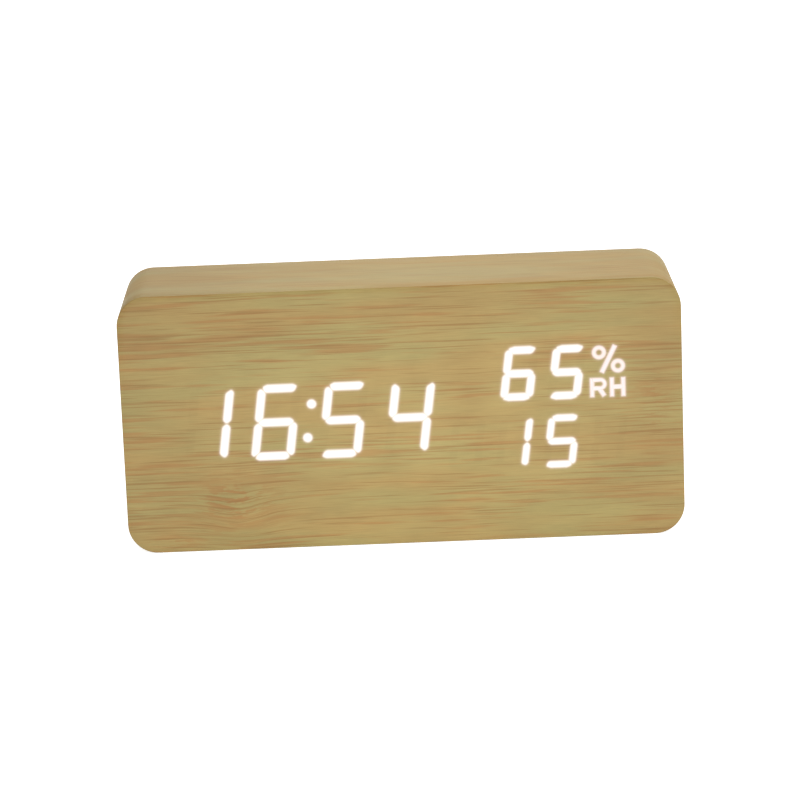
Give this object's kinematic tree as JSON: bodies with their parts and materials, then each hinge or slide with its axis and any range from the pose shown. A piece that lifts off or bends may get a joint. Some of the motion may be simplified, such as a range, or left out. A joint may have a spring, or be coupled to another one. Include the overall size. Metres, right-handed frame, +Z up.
{
  "type": "digital led desk clock",
  "caption": "Block-shaped desk clock in wood-effect veneer, with seven-segment digits that glow through the front and a black rear cover with buttons, battery bay and power socket.",
  "frame": {"origin": "middle of the flat base that the clock stands on", "axes": "+X to the right along the front, +Y from the front to the back, +Z up"},
  "size_m": [0.15, 0.04, 0.0705],
  "materials": {
    "fibreboard": "raw medium-density fibreboard, routed",
    "front_wood": "bamboo-effect veneer, fine brown streaks, satin",
    "case_wood": "paler bamboo-effect veneer, satin",
    "diffuser": "thin printed diffusing film",
    "white_plastic": "white moulded plastic",
    "black_plastic": "fine-grained black moulded plastic",
    "board_green": "green solder mask over glass-fibre board",
    "lamp_white": "light-emitting chip, pale phosphor",
    "chip_black": "moulded black chip body",
    "screw_steel": "zinc-plated steel",
    "contact_steel": "nickel-plated spring steel",
    "can_metal": "bare drawn can",
    "cell_wrap": "printed jacket over a metal can, plain bands",
    "sensor_plastic": "pale grey moulded sensor box",
    "red_wire": "red insulated wire",
    "black_wire": "black insulated wire",
    "ribbon_grey": "grey flat ribbon cable"
  },
  "bodies": {
    "clock": {"case_body": "fibreboard", "front_veneer": "front_wood", "base_veneer": "case_wood", "side_veneer": "case_wood", "rear_veneer": "case_wood", "legend_film": "diffuser", "segment_mask": "white_plastic", "display_board": "board_green", "led_chips": "lamp_white", "driver_chips": "chip_black", "display_screws": "screw_steel", "display_header": "white_plastic", "ribbon_cable": "ribbon_grey", "control_header": "white_plastic", "control_board": "board_green", "switch_bodies": "chip_black", "socket_shell": "contact_steel", "socket_tongue": "black_plastic", "sounder": "chip_black", "microphone": "can_metal", "climate_sensor": "sensor_plastic", "mcu_chip": "chip_black", "crystal": "can_metal", "capacitor": "can_metal", "lead_terminals": "white_plastic", "rear_cover": "black_plastic", "cover_screws": "screw_steel", "negative_contact": "contact_steel", "positive_contact": "contact_steel", "low_link_contact": "contact_steel", "high_link_contact": "contact_steel", "battery_springs": "contact_steel", "black_lead": "black_wire", "red_lead": "red_wire", "battery_cell_1": "cell_wrap", "battery_cell_2": "cell_wrap", "battery_cell_3": "cell_wrap"},
    "battery_door": {"battery_door": "black_plastic"},
    "set_button": {"set_button": "black_plastic", "set_plunger": "chip_black"},
    "up_button": {"up_button": "black_plastic", "up_plunger": "chip_black"},
    "down_button": {"down_button": "black_plastic", "down_plunger": "chip_black"}
  },
  "joints": [
    {"name": "battery_door_hinge", "type": "hinge", "parent": "clock", "child": "battery_door", "pos_m": [0.033, 0.019, 0.01625], "axis": [-1, 0, 0], "range_deg": [0, 75]},
    {"name": "set_press", "type": "slide", "parent": "clock", "child": "set_button", "axis": [0, -1, 0], "range_m": [0, 0.0003], "stiffness_N_per_m": 1500},
    {"name": "up_press", "type": "slide", "parent": "clock", "child": "up_button", "axis": [0, -1, 0], "range_m": [0, 0.0003], "stiffness_N_per_m": 1500},
    {"name": "down_press", "type": "slide", "parent": "clock", "child": "down_button", "axis": [0, -1, 0], "range_m": [0, 0.0003], "stiffness_N_per_m": 1500}
  ]
}
